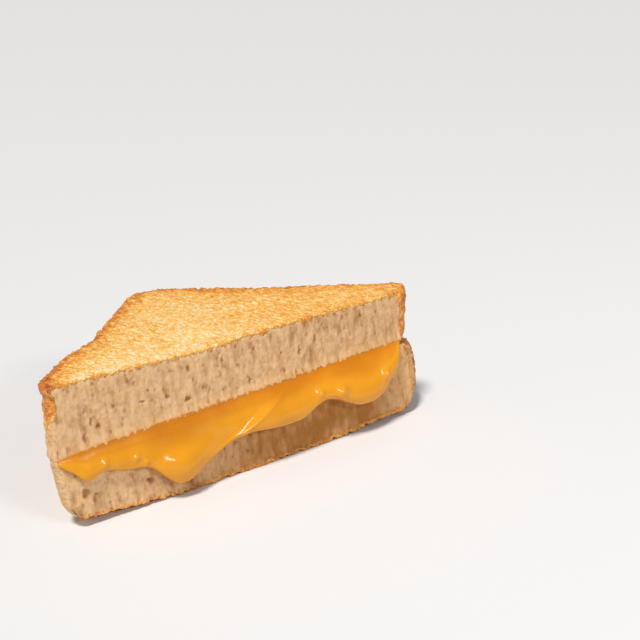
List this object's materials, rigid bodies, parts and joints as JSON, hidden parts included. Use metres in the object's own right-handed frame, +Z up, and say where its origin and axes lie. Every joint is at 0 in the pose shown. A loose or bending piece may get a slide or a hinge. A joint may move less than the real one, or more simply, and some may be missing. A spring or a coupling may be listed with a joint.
{
  "type": "grilled cheese sandwich half",
  "caption": "Half of a thick grilled cheese sandwich cut corner to corner, toasted slices with melted cheese that drips down the cut face.",
  "frame": {"origin": "on the surface it rests on, below the middle of its box", "axes": "+X along the cut from the shoulder end to the bottom corner end, -Y out of the cut face, +Z up"},
  "size_m": [0.1652, 0.077, 0.052],
  "materials": {
    "bread": "dry porous crumb with golden toasted faces and brown crust",
    "cheese": "smooth glossy melted cheese"
  },
  "bodies": {
    "root": {"bread_bottom": "bread", "cheese": "cheese", "bread_top": "bread"}
  },
  "joints": []
}
